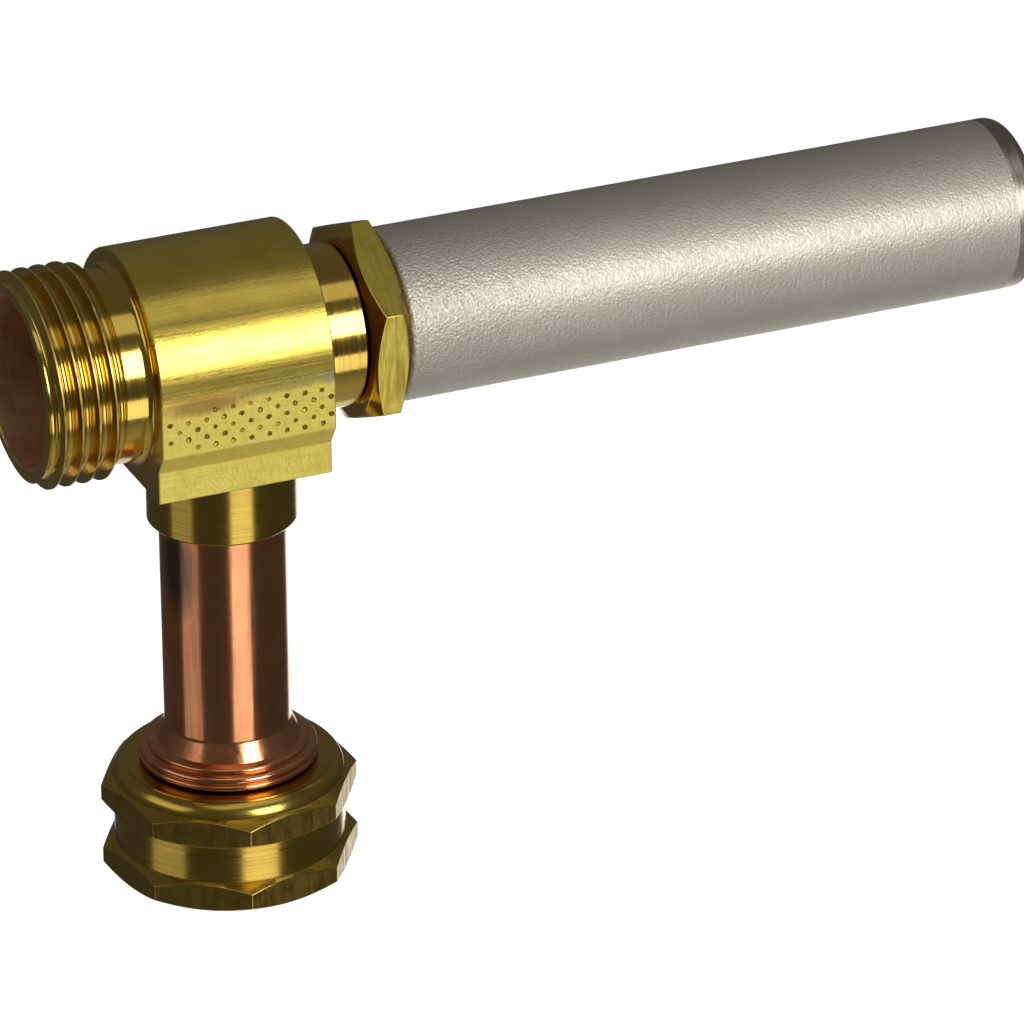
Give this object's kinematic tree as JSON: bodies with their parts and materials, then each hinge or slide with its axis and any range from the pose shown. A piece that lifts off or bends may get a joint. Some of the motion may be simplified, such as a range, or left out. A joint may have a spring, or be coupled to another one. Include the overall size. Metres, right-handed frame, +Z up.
{
  "type": "water hammer arrestor",
  "caption": "Brass tee with a male hose thread, a swivel hose nut on a copper tail and a closed steel air chamber whose sealed piston cushions pressure surges.",
  "frame": {"origin": "on the branch axis at the start of the inlet thread in the swivel nut", "axes": "+Z up the branch towards the tee, +X along the run towards the closed end of the air chamber"},
  "size_m": [0.1343, 0.032, 0.0854],
  "materials": {
    "brass_bar": "extruded and turned bare brass",
    "brass_hex": "drawn hexagon bar, turned",
    "stainless": "satin, fine blasted grain",
    "seal_rubber": "moulded nitrile rings",
    "acetal": "turned natural acetal",
    "copper": "drawn copper, heat darkened",
    "brass_nut": "turned octagon bar",
    "washer_rubber": "moulded rubber"
  },
  "bodies": {
    "tee": {"tee_body": "brass_bar", "hex_adapter": "brass_hex", "air_chamber": "stainless", "chamber_seal": "seal_rubber", "tail_tube": "copper"},
    "piston": {"piston": "acetal", "piston_seal_front": "seal_rubber", "piston_seal_rear": "seal_rubber"},
    "nut": {"swivel_nut": "brass_nut", "hose_washer": "washer_rubber"}
  },
  "joints": [
    {"name": "nut_swivel", "type": "hinge", "parent": "tee", "child": "nut", "pos_m": [0, 0, 0], "axis": [0, 0, 1], "continuous": true},
    {"name": "piston_slide", "type": "slide", "parent": "tee", "child": "piston", "axis": [1, 0, 0], "range_m": [0, 0.045], "stiffness_N_per_m": 20, "springref_m": -0.005}
  ]
}
